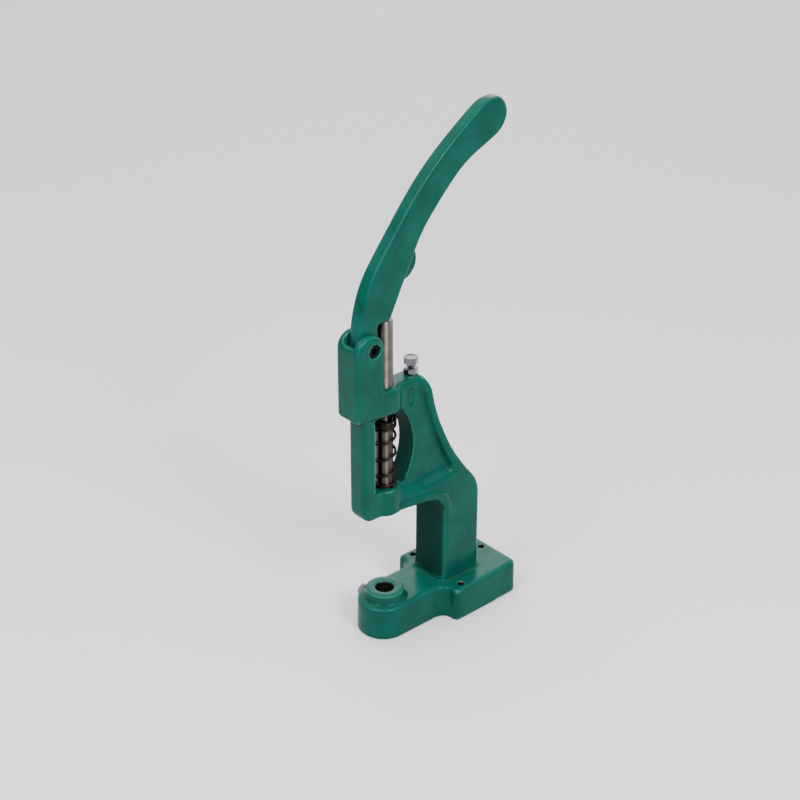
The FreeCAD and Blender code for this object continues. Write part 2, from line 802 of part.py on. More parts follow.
def makeStopBolt():
    length = "(stop_head_underside - stop_tip_height)"
    bolt = makeHexBolt("stop_bolt", "stop_thread_radius", length, "stop_head_height")
    place(bolt, "0", "stop_bolt_place", "stop_head_underside")
    return bolt


def makeLockNut():
    block = hexBlock("stop_lock_nut", "small_hex_across", "lock_nut_height")
    bore = cylinder("stop_lock_nut_bore", "stop_thread_radius + thread_clearance",
                    "lock_nut_height + 2 * cut_overrun", "0", "0", "-cut_overrun")
    nut = doc.addObject("Part::Cut", "stop_lock_nut")
    nut.Base = block
    nut.Tool = bore
    place(nut, "0", "stop_bolt_place", "frame_top")
    return nut


def makeClampScrew():
    length = "(nose_half_width + clamp_head_standoff - die_socket_radius - loose_clearance)"
    screw = makeHexBolt("die_clamp_screw", "clamp_screw_radius", length, "clamp_head_height")
    place(screw, "-(nose_half_width + clamp_head_standoff)", "0", "clamp_screw_height", againstX)
    return screw


def makePivotScrew():
    # socket screw with its head's outer face at zero, pointing down its own axis
    body = newBody("pivot_screw")
    turnOf(body, "pivot_shape", [
        ("0", "0"),
        ("pivot_head_radius - pivot_chamfer", "0"),
        ("pivot_head_radius", "pivot_chamfer"),
        ("pivot_head_radius", "pivot_head_height - seat_gap"),
        ("pivot_radius", "pivot_head_height - seat_gap"),
        ("pivot_radius", "2 * head_half_width - pivot_head_sunk - pivot_chamfer"),
        ("pivot_radius - pivot_chamfer", "2 * head_half_width - pivot_head_sunk"),
        ("0", "2 * head_half_width - pivot_head_sunk"),
    ])
    turns = [index * math.tau / 6 for index in range(6)]
    corners = []
    for angle in turns:
        across = "%s * pivot_socket_radius" % round(math.cos(angle), 6)
        up = "%s * pivot_socket_radius" % round(math.sin(angle), 6)
        corners.append((across, up))
    socket = outline(body, "socket_plan", "XY_Plane", corners)
    pocketOf(body, "socket", socket, "pivot_socket_depth", side="One side", reverse=True)
    place(body, "head_half_width - pivot_head_sunk", "pivot_forward", "pivot_height", againstX)
    return body


# Rise of the spring over each of its turns, as shares of its free rise between the end centres
turnShares = [0.046, 0.138, 0.245, 0.245, 0.233, 0.047, 0.046]
quartersPerTurn = 4


def biarc(first, leaving, last, arriving):
    # two tangent arcs from one point and direction to another
    across = last - first
    both = leaving + arriving
    spread = 2 * (1 - leaving.dot(arriving))
    reach = (-across.dot(both) + math.sqrt(across.dot(both) ** 2 + spread * across.dot(across))) / spread
    joint = (first + last + (leaving - arriving) * reach) / 2
    edges = []
    halves = ((first, first + leaving * reach, joint), (joint, last - arriving * reach, last))
    for start, corner, end in halves:
        weight = start.distanceToPoint(end) / 2 / reach
        middle = (start + corner * (2 * weight) + end) / (2 + 2 * weight)
        edges.append(Part.Arc(start, middle, end).toShape())
    return edges


def makeSpring():
    radius = size("coil_radius")
    wire = size("wire_radius")
    low = size("window_floor") + wire + size("seat_gap")
    high = size("cross_pin_height") - size("cross_pin_radius") - size("washer_thickness")
    high -= wire + size("seat_gap")
    heights = [low]
    for share in turnShares:
        heights.append(heights[-1] + share * (high - low))

    def spot(turn):
        # smooth height: the rise of each turn blends into the next by a cubic through the turn heights
        whole = min(int(turn), len(turnShares) - 1)
        part = turn - whole
        slopes = [heights[1] - heights[0]]
        for index in range(1, len(turnShares)):
            before = heights[index] - heights[index - 1]
            after = heights[index + 1] - heights[index]
            slopes.append(2 * before * after / (before + after))
        slopes.append(heights[-1] - heights[-2])
        rise = heights[whole + 1] - heights[whole]
        leave, arrive = slopes[whole], slopes[whole + 1]
        up = heights[whole] + part * leave + part ** 2 * (3 * rise - 2 * leave - arrive) \
            + part ** 3 * (leave + arrive - 2 * rise)
        steep = leave + 2 * part * (3 * rise - 2 * leave - arrive) \
            + 3 * part ** 2 * (leave + arrive - 2 * rise)
        angle = math.tau * turn
        point = Vector(radius * math.cos(angle), radius * math.sin(angle), up)
        heading = Vector(-radius * math.tau * math.sin(angle), radius * math.tau * math.cos(angle), steep)
        return point, heading.normalize()

    edges = []
    quarters = len(turnShares) * quartersPerTurn
    for index in range(quarters):
        first, leaving = spot(index / quartersPerTurn)
        last, arriving = spot((index + 1) / quartersPerTurn)
        edges.extend(biarc(first, leaving, last, arriving))
    path = Part.Wire(edges)
    start, heading = spot(0)
    section = Part.Wire([Part.Circle(start, heading, wire).toShape()])
    pipe = Part.BRepOffsetAPI.MakePipeShell(path)
    pipe.add(section)
    pipe.build()
    pipe.makeSolid()
    spring = doc.addObject("Part::Feature", "return_spring")
    spring.Shape = pipe.shape()
    # least gap between the wire's own turns, measured on points of its middle line
    steps = 48
    line = [spot(index / steps)[0] for index in range(len(turnShares) * steps + 1)]
    least = min(line[index].distanceToPoint(line[other]) for index in range(len(line))
                for other in range(index + steps // 2, len(line)))
    print("return_spring least gap to itself %.2f mm" % (least - 2 * wire))
    print("return_spring volume %.1f, section times length %.1f"
          % (spring.Shape.Volume, math.pi * wire ** 2 * path.Length))
    return spring


subParts = [
    makeFrame(),
    makeLever(),
    makeRam(),
    makeCrossPin(),
    makeWasher(),
    makeSpring(),
    makePivotScrew(),
    makeStopBolt(),
    makeLockNut(),
    makeClampScrew(),
]
doc.recompute()

for item in doc.Objects:
    if "Invalid" in item.State or "Error" in item.State:
        raise RuntimeError("%s did not build" % item.Label)
for item in subParts:
    if item.Shape.isNull() or not item.Shape.isValid():
        raise RuntimeError("%s has no valid shape" % item.Label)

os.makedirs("parts", exist_ok=True)
for item in subParts:
    item.Shape.exportStep("parts/%s.step" % item.Label)
    bounds = item.Shape.BoundBox
    print("%s solids %d volume %.0f x %.1f..%.1f y %.1f..%.1f z %.1f..%.1f" % (
        item.Label, len(item.Shape.Solids), item.Shape.Volume,
        bounds.XMin, bounds.XMax, bounds.YMin, bounds.YMax, bounds.ZMin, bounds.ZMax))
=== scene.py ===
import bpy
import bmesh
import math
import numpy as np
from mathutils import Matrix, Vector


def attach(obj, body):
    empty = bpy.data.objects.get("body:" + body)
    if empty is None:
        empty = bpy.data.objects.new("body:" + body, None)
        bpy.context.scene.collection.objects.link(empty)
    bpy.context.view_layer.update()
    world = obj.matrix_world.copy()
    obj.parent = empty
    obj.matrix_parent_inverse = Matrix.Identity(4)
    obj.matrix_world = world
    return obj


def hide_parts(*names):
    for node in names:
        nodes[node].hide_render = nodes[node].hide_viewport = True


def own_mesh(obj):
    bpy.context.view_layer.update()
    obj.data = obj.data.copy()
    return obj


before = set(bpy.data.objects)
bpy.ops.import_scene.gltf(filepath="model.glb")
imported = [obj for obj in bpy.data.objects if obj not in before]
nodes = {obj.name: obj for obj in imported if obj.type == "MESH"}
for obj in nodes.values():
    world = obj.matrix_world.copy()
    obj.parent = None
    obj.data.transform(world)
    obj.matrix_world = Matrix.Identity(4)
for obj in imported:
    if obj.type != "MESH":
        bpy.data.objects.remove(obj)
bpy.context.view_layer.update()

mm = 0.001


def toLinear(code):
    # sRGB hex to the linear colour the shaders want
    parts = [int(code[i:i + 2], 16) / 255 for i in (1, 3, 5)]
    return tuple(c / 12.92 if c <= 0.04045 else ((c + 0.055) / 1.055) ** 2.4 for c in parts) + (1.0,)


def addNode(tree, kind, links=None, values=None, **settings):
    # adds one node: settings on it, values on its inputs, links into its inputs
    node = tree.nodes.new(kind)
    for key, value in settings.items():
        setattr(node, key, value)
    for key, value in (values or {}).items():
        node.inputs[key].default_value = value
    for key, (source, output) in (links or {}).items():
        tree.links.new(source.outputs[output], node.inputs[key])
    return node


def newPiece(name, mesh, material, body, *replaced):
    piece = bpy.data.objects.new(name, mesh)
    bpy.context.scene.collection.objects.link(piece)
    if material:
        mesh.materials.clear()
        mesh.materials.append(material)
    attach(piece, body)
    if replaced:
        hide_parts(*replaced)
    return piece


def ringMesh(name, rings, segments, place=None, smooth=38):
    # closed mesh from rings of (height, radius): the radius is a number or a function of the angle,
    # and a radius of 0 is a pole
    bm = bmesh.new()
    loops = []
    for height, radius in rings:
        if radius == 0:
            loops.append([bm.verts.new((0, 0, height))])
            continue
        loop = []
        for i in range(segments):
            a = math.tau * i / segments
            r = radius(a) if callable(radius) else radius
            loop.append(bm.verts.new((r * math.cos(a), r * math.sin(a), height)))
        loops.append(loop)
    for low, high in zip(loops, loops[1:]):
        for i in range(segments):
            j = (i + 1) % segments
            if len(low) == 1:
                bm.faces.new((low[0], high[j], high[i]))
            elif len(high) == 1:
                bm.faces.new((low[i], low[j], high[0]))
            else:
                bm.faces.new((low[i], low[j], high[j], high[i]))
    bmesh.ops.recalc_face_normals(bm, faces=bm.faces)
    if place:
        bm.transform(place)
    mesh = bpy.data.meshes.new(name)
    bm.to_mesh(mesh)
    bm.free()
    shadeByAngle(mesh, smooth)
    return mesh


def closeSeam(mesh):
    # a profile that ends where it began leaves two rings on one spot, and this makes them one
    bm = bmesh.new()
    bm.from_mesh(mesh)
    bmesh.ops.remove_doubles(bm, verts=bm.verts, dist=skinSizes["merge"])
    bmesh.ops.recalc_face_normals(bm, faces=bm.faces)
    bm.to_mesh(mesh)
    bm.free()


def shadeByAngle(mesh, degrees):
    mesh.polygons.foreach_set("use_smooth", [True] * len(mesh.polygons))
    bm = bmesh.new()
    bm.from_mesh(mesh)
    limit = math.radians(degrees)
    for edge in bm.edges:
        edge.smooth = len(edge.link_faces) != 2 or edge.calc_face_angle(0) < limit
    bm.to_mesh(mesh)
    bm.free()


cornerRoom = 2.2    # a rounding takes less than half of each side beside its corner


def roundedProfile(corners, radius, steps=4):
    # corners (r, z) with each inner one rounded by the given radius
    out = [corners[0]]
    for before, here, after in zip(corners, corners[1:], corners[2:]):
        p, q, s = (Vector(c) for c in (before, here, after))
        a, b = (p - q), (s - q)
        cut = min(radius, a.length / cornerRoom, b.length / cornerRoom)
        a, b = q + a.normalized() * cut, q + b.normalized() * cut
        for i in range(steps + 1):
            t = i / steps
            out.append(tuple(a * (1 - t) ** 2 + q * 2 * t * (1 - t) + b * t ** 2))
    out.append(corners[-1])
    return out


def profileRings(profile):
    return [(z, r) for r, z in profile]


def hexRadius(acrossFlats):
    def radius(angle):
        turn = angle % (math.tau / 6) - math.tau / 12
        return acrossFlats / 2 / math.cos(turn)
    return radius


def principled(name, **sockets):
    material = bpy.data.materials.new(name)
    material.use_nodes = True
    tree = material.node_tree
    shader = tree.nodes["Principled BSDF"]
    for key, value in sockets.items():
        shader.inputs[key.replace("_", " ")].default_value = value
    place = addNode(tree, "ShaderNodeTexCoord")
    return material, tree, shader, place


def patches(tree, place, size, detail=3.0, rough=0.5):
    # soft noise whose blotches are about size metres wide
    return addNode(tree, "ShaderNodeTexNoise", {"Vector": (place, "Object")},
                   {"Scale": 1 / size, "Detail": detail, "Roughness": rough})


def ramp(tree, source, output, stops):
    node = addNode(tree, "ShaderNodeValToRGB", {"Fac": (source, output)})
    marks = node.color_ramp.elements
    while len(marks) < len(stops):
        marks.new(0.5)
    for mark, (where, colour) in zip(marks, stops):
        mark.position = where
        mark.color = toLinear(colour) if isinstance(colour, str) else (colour, colour, colour, 1.0)
    return node


enamelLook = {
    "deep": "#003c32", "lit": "#00463b",        # the coat itself, in soft blotches
    "edge": "#3f9585", "edgeSheenPale": "#5fa899",   # where it is thin over an edge, plus a painted highlight along the edge
    "cornerShade": "#001f19", "cornerShadePale": "#002b24",   # painted shade in the concave corners
    "blotch": 22 * mm, "wave": 11 * mm,         # size of the blotches, and of the casting's waves
    "skin": 1.5 * mm,                           # orange peel, finer on the real press, coarser here to show
}


def makeEnamel():
    # thick gloss enamel brushed over rough cast iron: the casting's soft waves, a fine orange peel,
    # pale edges where the coat is thin that also paint a highlight, and painted shade in the corners
    look = enamelLook
    material, tree, shader, place = principled(
        "greenEnamelOnCastIron", Metallic=0.0, IOR=1.5, Specular_IOR_Level=0.08)
    blotch = patches(tree, place, look["blotch"], 4)
    colour = ramp(tree, blotch, "Fac", [(0.35, look["deep"]), (0.65, look["lit"])])
    shape = addNode(tree, "ShaderNodeNewGeometry")
    # pale edges: the coat is thin over them, and a painted highlight runs along them
    edge = ramp(tree, shape, "Pointiness", [(0.52, 0.0), (0.575, 0.6)])
    # painted shade in the concave corners
    hollow = ramp(tree, shape, "Pointiness", [(0.455, 1.0), (0.493, 0.0)])
    skin = patches(tree, place, look["skin"], 2, 0.6)
    edgeCoatAndSheen = ramp(tree, skin, "Fac", [(0.3, look["edge"]), (0.7, look["edgeSheenPale"])])
    cornerShade = ramp(tree, skin, "Fac", [(0.3, look["cornerShade"]), (0.7, look["cornerShadePale"])])
    cornerShaded = addNode(tree, "ShaderNodeMix", {"Factor": (hollow, "Color")}, data_type="RGBA")
    tree.links.new(colour.outputs["Color"], cornerShaded.inputs[6])
    tree.links.new(cornerShade.outputs["Color"], cornerShaded.inputs[7])
    edgeCoatAndSheenMix = addNode(tree, "ShaderNodeMix", {"Factor": (edge, "Color")}, data_type="RGBA")
    tree.links.new(cornerShaded.outputs[2], edgeCoatAndSheenMix.inputs[6])
    tree.links.new(edgeCoatAndSheen.outputs["Color"], edgeCoatAndSheenMix.inputs[7])
    tree.links.new(edgeCoatAndSheenMix.outputs[2], shader.inputs["Base Color"])
    rough = ramp(tree, skin, "Fac", [(0.3, 0.17), (0.7, 0.28)])
    tree.links.new(rough.outputs["Color"], shader.inputs["Roughness"])
    wave = patches(tree, place, look["wave"], 2, 0.5)
    first = addNode(tree, "ShaderNodeBump", {"Height": (wave, "Fac")},
                    {"Strength": 0.45, "Distance": 0.6 * mm})
    second = addNode(tree, "ShaderNodeBump", {"Height": (skin, "Fac"), "Normal": (first, "Normal")},
                     {"Strength": 0.35, "Distance": 0.12 * mm})
    tree.links.new(second.outputs["Normal"], shader.inputs["Normal"])
    return material


# dark dull coat that paints the shade in the window and the throat
shadeCoatLook = {"deep": "#06251f", "lit": "#0a352e", "grain": 2.5 * mm}


def makeShadeCoat():
    # painted shade in the window and the throat: a dark coat, rough and without gloss, on the
    # sand-cast skin stands in for the shade that lies there
    look = shadeCoatLook
    material, tree, shader, place = principled(
        "darkCoatPaintedShade", Specular_IOR_Level=0.05, IOR=1.5)
    grain = patches(tree, place, look["grain"], 4, 0.6)
    colour = ramp(tree, grain, "Fac", [(0.3, look["deep"]), (0.7, look["lit"])])
    tree.links.new(colour.outputs["Color"], shader.inputs["Base Color"])
    rough = ramp(tree, grain, "Fac", [(0.3, 0.6), (0.7, 0.8)])
    tree.links.new(rough.outputs["Color"], shader.inputs["Roughness"])
    bump = addNode(tree, "ShaderNodeBump", {"Height": (grain, "Fac")},
                   {"Strength": 0.5, "Distance": 0.2 * mm})
    tree.links.new(bump.outputs["Normal"], shader.inputs["Normal"])
    return material


steelLook = {
    "pale": "#7d7873", "dark": "#5e5954",        # clean above the upper bearing
    "oilShadePale": "#5f5a54", "oilShadeDark": "#403c38",  # oily and in painted shade below it
    "oilShadeTop": 222 * mm, "oilShadeFade": 10 * mm,
    "smear": 9 * mm,
    "line": 0.35 * mm,                           # grinding lines, far coarser than real ones so they show
}


def makeGroundSteel():
    # centreless ground bar: fine rings round it stretch every highlight along the bar, and a darker
    # colour below the upper bearing stands for both a film of oil and painted shade inside the frame
    look = steelLook
    material, tree, shader, place = principled(
        "groundSteelBar", Metallic=1.0, Anisotropic=0.95, Anisotropic_Rotation=0.25)
    around = addNode(tree, "ShaderNodeTangent", direction_type="RADIAL", axis="Z")
    tree.links.new(around.outputs["Tangent"], shader.inputs["Tangent"])
    stretch = addNode(tree, "ShaderNodeMapping", {"Vector": (place, "Object")},
                      {"Scale": (0.05, 0.05, 1.0)})
    lines = addNode(tree, "ShaderNodeTexNoise", {"Vector": (stretch, "Vector")},
                    {"Scale": 1 / look["line"], "Detail": 3.0})
    smear = patches(tree, place, look["smear"], 3)
    clean = ramp(tree, smear, "Fac", [(0.3, look["dark"]), (0.7, look["pale"])])
    oilyShaded = ramp(tree, smear, "Fac", [(0.3, look["oilShadeDark"]), (0.7, look["oilShadePale"])])
    split = addNode(tree, "ShaderNodeSeparateXYZ", {"Vector": (place, "Object")})
    # darker below the upper bearing: oil film and painted shade inside the frame
    level = ramp(tree, split, "Z", [(look["oilShadeTop"] - look["oilShadeFade"], 0.0), (look["oilShadeTop"], 1.0)])
    oilAndShade = addNode(tree, "ShaderNodeMix", {"Factor": (level, "Color")}, data_type="RGBA")
    tree.links.new(oilyShaded.outputs["Color"], oilAndShade.inputs[6])
    tree.links.new(clean.outputs["Color"], oilAndShade.inputs[7])
    tree.links.new(oilAndShade.outputs[2], shader.inputs["Base Color"])
    rough = ramp(tree, lines, "Fac", [(0.3, 0.42), (0.7, 0.54)])
    tree.links.new(rough.outputs["Color"], shader.inputs["Roughness"])
    bump = addNode(tree, "ShaderNodeBump", {"Height": (lines, "Fac")},
                   {"Strength": 0.25, "Distance": 0.02 * mm})
    tree.links.new(bump.outputs["Normal"], shader.inputs["Normal"])
    return material


def makeDarkMetal(name, dark, pale, low, high, grain):
    # small parts with a mottled film over turned, drawn or bored metal: roughness runs from low to high
    material, tree, shader, place = principled(name, Metallic=1.0)
    mottle = patches(tree, place, grain, 4, 0.6)
    colour = ramp(tree, mottle, "Fac", [(0.3, dark), (0.7, pale)])
    tree.links.new(colour.outputs["Color"], shader.inputs["Base Color"])
    rough = ramp(tree, mottle, "Fac", [(0.3, low), (0.7, high)])
    tree.links.new(rough.outputs["Color"], shader.inputs["Roughness"])
    bump = addNode(tree, "ShaderNodeBump", {"Height": (mottle, "Fac")},
                   {"Strength": 0.2, "Distance": 0.05 * mm})
    tree.links.new(bump.outputs["Normal"], shader.inputs["Normal"])
    return material


enamel = makeEnamel()
groundSteel = makeGroundSteel()
shadeCoat = makeShadeCoat()
# drawn wire, tempered brown and oiled: dark, with a broken soft shine
springSteel = makeDarkMetal("oiledSpringWire", "#191512", "#332d28", 0.30, 0.48, 1.2 * mm)
# black oxide on turned steel: near black and satin
blackOxide = makeDarkMetal("blackOxideSteel", "#0e0e10", "#1d1d1f", 0.30, 0.50, 0.8 * mm)
# dull zinc on cold-headed steel: grey, and shiny enough to mirror the room on its flats
zincPlate = makeDarkMetal("dullZincPlate", "#4c4f51", "#6a6d6f", 0.13, 0.24, 2.0 * mm)
# iron laid bare by the drill: grey and granular, seen only inside the holes
boredIron = makeDarkMetal("boredCastIron", "#3a3a39", "#6a6864", 0.30, 0.50, 0.7 * mm)
print("materials made")


castSizes = {
    "voxel": 1.0 * mm, "steps": 9, "share": 0.5,
    # drilled holes stay crisp and bare: axis, centre on the other two axes, radius, low and high end
    "bores": [
        (2, (0, 0), 7.05 * mm, 105 * mm, 230 * mm),
        (2, (0, 0), 7.5 * mm, 12 * mm, 40 * mm),
        (2, (0, 27.4 * mm), 3.05 * mm, 190 * mm, 230 * mm),
        (2, (28.8 * mm, 57.4 * mm), 2.75 * mm, -5 * mm, 35 * mm),
        (2, (-28.8 * mm, 57.4 * mm), 2.75 * mm, -5 * mm, 35 * mm),
        (2, (0, 108 * mm), 2.75 * mm, -5 * mm, 35 * mm),
        (0, (-19.8 * mm, 262 * mm), 3.05 * mm, -20 * mm, 9 * mm),
        (0, (0, 20.5 * mm), 3.05 * mm, -30 * mm, -5 * mm),
    ],
    # crisp as well, but painted
    "painted": [(0, (-19.8 * mm, 262 * mm), 5.5 * mm, 8.2 * mm, 20 * mm)],
    "keep": 1.0 * mm, "fade": 2.0 * mm,
    # boxes of painted shade, where faces get the dark dull coat: low corner, high corner and the way
    # that its faces look: the window all round, and the throat where it looks forward and down
    "shadeCoatBoxes": [
        ((-8.2 * mm, -19 * mm, 134.6 * mm), (8.2 * mm, 24 * mm, 199.5 * mm), (0, 0, 0)),
        ((-17 * mm, 22 * mm, 32 * mm), (17 * mm, 48.6 * mm, 112.5 * mm), (0, -0.71, -0.71)),
    ],
    "from": 6 * mm,    # hollows stay this far off the middle plane
    # each a line seen from the side, its reach and its smoothing steps:
    # soft hollows where the thin web meets the flange, and a broader one where it meets the arm band
    "hollows": [
        ([(28 * mm, 222 * mm), (33.2 * mm, 200 * mm), (39.1 * mm, 180 * mm), (46.5 * mm, 160 * mm),
          (55.4 * mm, 140 * mm), (60 * mm, 131 * mm)], 5.5 * mm, 20),
        ([(54 * mm, 131 * mm), (34 * mm, 129 * mm), (9 * mm, 127 * mm)], 12 * mm, 80),
        ([(8 * mm, 226 * mm), (8 * mm, 196 * mm)], 6 * mm, 60),
        # and a generous rounding of the arch and the column's front edges
        ([(12 * mm, 111 * mm), (36.5 * mm, 111 * mm), (43.6 * mm, 108 * mm), (46.5 * mm, 101 * mm),
          (46.5 * mm, 40 * mm)], 7 * mm, 40),
    ],
}
leverSizes = {
    "voxel": 0.7 * mm, "steps": 4, "share": 0.5,
    "bores": [(0, (-19.8 * mm, 262 * mm), 3.05 * mm, -20 * mm, 20 * mm)],
    "keep": 0.6 * mm, "fade": 1.5 * mm,
    # its front edges are rounded off broadly towards the hub
    "hollows": [
        ([(-33.3 * mm, 270 * mm), (-33.3 * mm, 284 * mm), (-30.5 * mm, 301 * mm), (-26.5 * mm, 315 * mm)],
         8 * mm, 90),
    ],
    "from": 1 * mm,
    "thinFrom": 285 * mm, "thinTo": 430 * mm, "thinShare": 0.9,
    # the bar's end is rounded in plan too, over its last few millimetres
    "heading": (0.75, 0.66), "roundLength": 10 * mm, "roundShare": 0.8,
}


skinSizes = {
    "merge": 0.001 * mm,     # points this near are one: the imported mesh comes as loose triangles
    "bareGap": 0.35 * mm,    # faces this near to a bore's wall are bare iron
    "turned": 0.45,          # share of a face's normal that has to look the stated way
}


def radialGap(co, bore):
    # how far each point stands outside a bore's wall, or beyond its ends; negative inside it
    axis, centre, radius, low, high = bore
    first, second = [k for k in range(3) if k != axis]
    gap = np.hypot(co[:, first] - centre[0], co[:, second] - centre[1]) - radius
    beyond = np.maximum(low - co[:, axis], co[:, axis] - high)
    return np.maximum(gap, np.where(beyond > 0, beyond, gap))


def nearLine(co, line, reach):
    # share that fades from one on the line to nothing at the reach, seen from the side
    best = np.full(len(co), np.inf)
    for first, last in zip(line, line[1:]):
        a, b = np.array(first), np.array(last)
        run = b - a
        t = np.clip(((co[:, 1:] - a) @ run) / (run @ run), 0, 1)
        best = np.minimum(best, np.linalg.norm(co[:, 1:] - (a + t[:, None] * run), axis=1))
    return np.clip(1 - best / reach, 0, 1)


def relax(co, ends, share, steps):
    # each point moves towards the middle of its neighbours by its own share
    count = np.bincount(ends.ravel(), minlength=len(co))[:, None]
    for step in range(steps):
        total = np.zeros_like(co)
        for axis in range(3):
            total[:, axis] = np.bincount(ends[:, 0], co[ends[:, 1], axis], len(co)) \
                + np.bincount(ends[:, 1], co[ends[:, 0], axis], len(co))
        co += (total / count - co) * share


def softCasting(name, node, sizes, shape=None):
    # even skin of small quads over the solid, smoothed like sand-cast iron, with its bores left alone
    work = bpy.data.objects.new(name + "Work", nodes[node].data.copy())
    bpy.context.scene.collection.objects.link(work)
    bm = bmesh.new()
    bm.from_mesh(work.data)
    bmesh.ops.remove_doubles(bm, verts=bm.verts, dist=skinSizes["merge"])
    bm.to_mesh(work.data)
    bm.free()
    remesh = work.modifiers.new("skin", "REMESH")
    remesh.mode = "VOXEL"
    remesh.voxel_size = sizes["voxel"]
    graph = bpy.context.evaluated_depsgraph_get()
    mesh = bpy.data.meshes.new_from_object(work.evaluated_get(graph))
    bpy.data.objects.remove(work)
    mesh.name = name
    co = np.zeros(len(mesh.vertices) * 3)
    mesh.vertices.foreach_get("co", co)
    co = co.reshape(-1, 3)
    ends = np.zeros(len(mesh.edges) * 2, np.int64)
    mesh.edges.foreach_get("vertices", ends)
    ends = ends.reshape(-1, 2)
    crisp = sizes["bores"] + sizes.get("painted", [])
    gap = np.min([np.abs(radialGap(co, bore)) for bore in crisp], axis=0)
    free = np.clip((gap - sizes["keep"]) / sizes["fade"], 0, 1)[:, None] * sizes["share"]
    for line, reach, steps in sizes.get("hollows", []):
        deep = nearLine(co, line, reach) * (np.abs(co[:, 0]) > sizes["from"])
        relax(co, ends, free * deep[:, None], steps)
    relax(co, ends, free, sizes["steps"])
    if shape:
        shape(co)
    mesh.vertices.foreach_set("co", co.ravel())
    mesh.update()
    mesh.materials.clear()
    mesh.materials.append(enamel)
    mesh.materials.append(boredIron)
    middles = np.zeros(len(mesh.polygons) * 3)
    mesh.polygons.foreach_get("center", middles)
    middles = middles.reshape(-1, 3)
    inBore = np.min([radialGap(middles, bore) for bore in sizes["bores"]], axis=0) < skinSizes["bareGap"]
    index = inBore.astype(np.int32)
    normals = np.zeros(len(mesh.polygons) * 3)
    mesh.polygons.foreach_get("normal", normals)
    # faces inside these boxes get the dark dull coat that paints their shade
    if "shadeCoatBoxes" in sizes:
        mesh.materials.append(shadeCoat)
    for low, high, facing in sizes.get("shadeCoatBoxes", []):
        within = np.all((middles > np.array(low)) & (middles < np.array(high)), axis=1)
        turned = normals.reshape(-1, 3) @ np.array(facing) > skinSizes["turned"] if any(facing) else True
        index[within & turned & ~inBore] = 2
    mesh.polygons.foreach_set("material_index", index)
    mesh.polygons.foreach_set("use_smooth", [True] * len(mesh.polygons))
    mesh.update()
    return mesh


dimpleSizes = {"along": 19.8 * mm, "up": 208.7 * mm, "straight": 5.4 * mm, "radius": 2.9 * mm,
               "depth": 1.1 * mm, "outside": 0.9 * mm, "slope": 2.2 * mm, "from": 8.5 * mm}


def pressDimple(co):
    # shallow upright oval hollow in the near side of the web
    sizes = dimpleSizes
    rise = np.clip(co[:, 2] - sizes["up"], -sizes["straight"], sizes["straight"])
    far = np.hypot(co[:, 1] - sizes["along"], co[:, 2] - sizes["up"] - rise)
    share = np.clip((sizes["radius"] + sizes["outside"] - far) / sizes["slope"], 0, 1)
    share = share * share * (3 - 2 * share)
    near = co[:, 0] > sizes["from"]
    co[:, 0] -= np.where(near, share * sizes["depth"], 0)


def thinLever(co):
    # the bar gets a little thinner towards its tip, and its end is rounded in plan
    sizes = leverSizes
    share = np.clip((co[:, 2] - sizes["thinFrom"]) / (sizes["thinTo"] - sizes["thinFrom"]), 0, 1)
    co[:, 0] *= 1 - share * (1 - sizes["thinShare"])
    run = co[:, 1] * sizes["heading"][0] + co[:, 2] * sizes["heading"][1]
    begin = run.max() - sizes["roundLength"] * sizes["roundShare"]
    late = np.clip((run - begin) / sizes["roundLength"], 0, 1)
    co[:, 0] *= np.sqrt(1 - late ** 2)


wallSizes = {"face": -19.8 * mm, "near": 1.2 * mm, "low": 134 * mm, "high": 199 * mm, "fade": 3 * mm,
             "half": 14 * mm, "nearer": 1.8 * mm}


def bringWallNearer(co):
    # the front wall's inner face stands a little nearer to the spring, as the photograph shows it
    s = wallSizes
    level = np.clip(np.minimum(co[:, 2] - s["low"], s["high"] - co[:, 2]) / s["fade"], 0, 1)
    inner = (np.abs(co[:, 1] - s["face"]) < s["near"]) & (np.abs(co[:, 0]) < s["half"])
    co[:, 1] += np.where(inner, s["nearer"] * level, 0)


lipSizes = {"line": [(13 * mm, 111 * mm), (36.5 * mm, 111 * mm), (43.6 * mm, 108 * mm),
                     (46.5 * mm, 101 * mm)],
            "reach": 9 * mm, "step": 1.5 * mm, "high": 0.9 * mm, "from": 9 * mm,
            "fadeLow": 94 * mm, "fadeHigh": 106 * mm}


def raiseLip(co):
    # a raised lip follows the arch on both sides
    s = lipSizes
    rise = np.clip(nearLine(co, s["line"], s["reach"]) * s["reach"] / s["step"], 0, 1)
    rise *= np.clip((co[:, 2] - s["fadeLow"]) / (s["fadeHigh"] - s["fadeLow"]), 0, 1)
    side = np.abs(co[:, 0]) > s["from"]
    co[:, 0] += np.sign(co[:, 0]) * side * s["high"] * rise * rise * (3 - 2 * rise)


ridgeSizes = {"high": 0.2 * mm, "wide": 0.8 * mm, "low": 33 * mm, "lean": 0.5 * mm, "near": 3 * mm,
              "columnFront": 46.5 * mm, "columnTop": 104 * mm, "columnHalf": 18 * mm}


def partingRidge(co):
    # the mould parted on the middle plane: a faint ridge down the column's front, which leans back from it
    s = ridgeSizes
    column = (co[:, 2] > s["low"]) & (co[:, 2] < s["columnTop"])
    face = column & (np.abs(co[:, 1] - s["columnFront"]) < s["near"])
    ridge = s["high"] * np.exp(-(co[:, 0] / s["wide"]) ** 2)
    co[:, 1] -= np.where(face, ridge, 0)
    co[:, 1] += np.where(face, s["lean"] * np.abs(co[:, 0]) / s["columnHalf"], 0)


def frameDetail(co):
    pressDimple(co)
    bringWallNearer(co)
    raiseLip(co)
    partingRidge(co)


